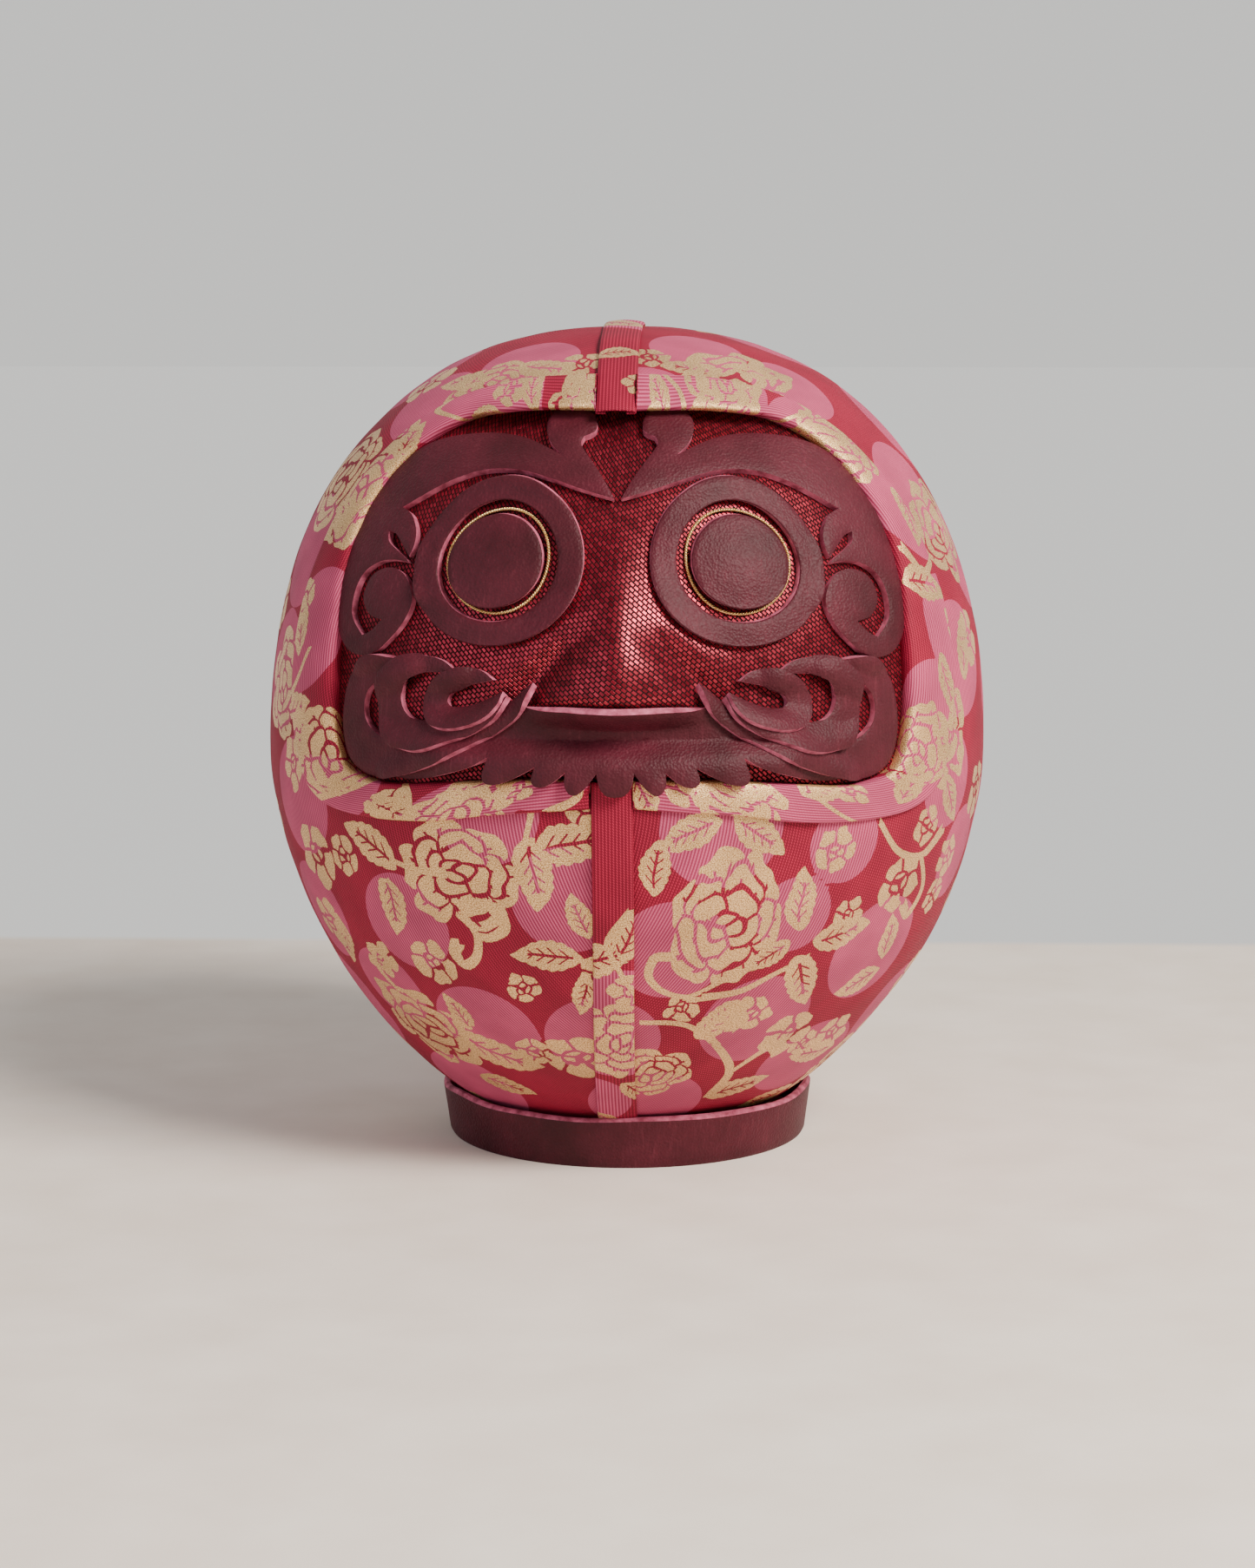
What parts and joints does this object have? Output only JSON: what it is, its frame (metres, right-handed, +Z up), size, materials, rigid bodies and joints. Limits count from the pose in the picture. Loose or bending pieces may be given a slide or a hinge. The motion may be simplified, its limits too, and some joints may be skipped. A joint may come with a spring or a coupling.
{
  "type": "daruma doll",
  "caption": "Round weighted doll covered in flowered brocade, with a cloth face under die-cut leather brows, eye rings, moustaches and beard, on a leather foot ring.",
  "frame": {"origin": "middle of the flat foot, where the leather foot ring and the card disc rest on the table", "axes": "+Z is up through the crown, -Y is the way the face looks, +X is to the right of someone looking at the face"},
  "size_m": [0.1408, 0.1475, 0.1611],
  "materials": {
    "brocade": "matte",
    "face_cloth": "satin",
    "leather": "satin",
    "gold_cord": "satin",
    "felt": "matte",
    "papier_mache": "matte",
    "card": "matte",
    "clay": "matte"
  },
  "bodies": {
    "root": {"core_shell": "papier_mache", "ballast": "clay", "base_disc": "card", "base_ring": "leather", "face_form": "papier_mache", "face_cloth": "face_cloth", "seam_strip_front": "brocade", "seam_strip_back": "brocade", "beard": "leather", "body_panel_left": "brocade", "border_band_left": "brocade", "brow_left": "leather", "moustache_outer_left": "leather", "moustache_middle_left": "leather", "moustache_inner_left": "leather", "eye_ring_left": "leather", "eye_pad_left": "felt", "eye_disc_left": "leather", "eye_cord_left": "gold_cord", "body_panel_right": "brocade", "border_band_right": "brocade", "brow_right": "leather", "moustache_outer_right": "leather", "moustache_middle_right": "leather", "moustache_inner_right": "leather", "eye_ring_right": "leather", "eye_pad_right": "felt", "eye_disc_right": "leather", "eye_cord_right": "gold_cord"}
  },
  "joints": []
}
